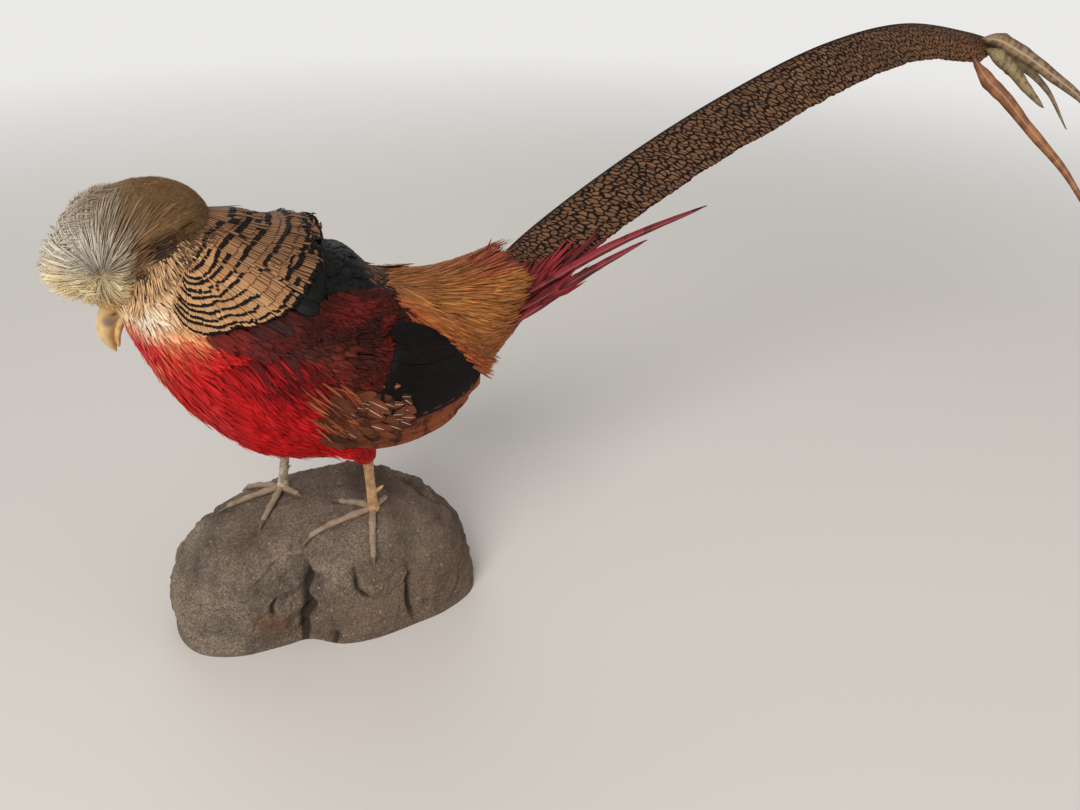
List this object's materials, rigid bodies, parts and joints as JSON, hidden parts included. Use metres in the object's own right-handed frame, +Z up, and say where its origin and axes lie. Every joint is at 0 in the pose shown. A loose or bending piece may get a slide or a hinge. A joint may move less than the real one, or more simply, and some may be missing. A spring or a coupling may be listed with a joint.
{
  "type": "taxidermy golden pheasant on a cast rock",
  "caption": "Stuffed cock golden pheasant with a pale crest, barred cape, scarlet breast and long arched tail, standing on a grey-brown cast rock.",
  "frame": {"origin": "middle of the cast rock's flat underside", "axes": "+Z up, -X towards the bird's head, +X towards the tips of its tail, -Y towards the bird's left side"},
  "size_m": [0.9016, 0.147, 0.3748],
  "materials": {
    "rock": "matte",
    "breast_feathers": "matte",
    "cape_feathers": "matte",
    "mantle_feathers": "satin",
    "rump_feathers": "matte",
    "crest_feathers": "matte",
    "face_feathers": "matte",
    "wing_feathers": "satin",
    "flight_feathers": "satin",
    "tail_feathers": "satin",
    "covert_feathers": "satin",
    "undertail_feathers": "matte",
    "horn": "satin",
    "eye": "polished",
    "leg_skin": "satin",
    "claw": "satin"
  },
  "bodies": {
    "root": {"base_rock": "rock", "trunk": "breast_feathers", "neck": "breast_feathers", "head": "face_feathers", "cape": "cape_feathers", "mantle": "mantle_feathers", "rump": "rump_feathers", "nape": "crest_feathers", "crest": "crest_feathers", "bill_upper": "horn", "bill_lower": "horn", "eye_left": "eye", "eye_right": "eye", "wing_left": "wing_feathers", "wing_right": "wing_feathers", "primaries_left": "flight_feathers", "primaries_right": "flight_feathers", "shank_left": "breast_feathers", "shank_right": "breast_feathers", "tarsus_left": "leg_skin", "tarsus_right": "leg_skin", "toe_left_middle": "leg_skin", "claw_left_middle": "claw", "toe_left_outer": "leg_skin", "claw_left_outer": "claw", "toe_left_inner": "leg_skin", "claw_left_inner": "claw", "toe_left_hind": "leg_skin", "claw_left_hind": "claw", "toe_right_middle": "leg_skin", "claw_right_middle": "claw", "toe_right_outer": "leg_skin", "claw_right_outer": "claw", "toe_right_inner": "leg_skin", "claw_right_inner": "claw", "toe_right_hind": "leg_skin", "claw_right_hind": "claw", "tail_central_left": "tail_feathers", "tail_central_right": "tail_feathers", "tail_inner_left": "tail_feathers", "tail_inner_right": "tail_feathers", "tail_outer_left": "tail_feathers", "tail_outer_right": "tail_feathers", "tail_tip_upper": "tail_feathers", "tail_tip_middle": "tail_feathers", "tail_tip_thin": "tail_feathers", "tail_tip_hanging": "tail_feathers", "covert_1_left": "covert_feathers", "covert_1_right": "covert_feathers", "covert_2_left": "covert_feathers", "covert_2_right": "covert_feathers", "covert_3_left": "covert_feathers", "covert_3_right": "covert_feathers", "undertail": "undertail_feathers"}
  },
  "joints": []
}
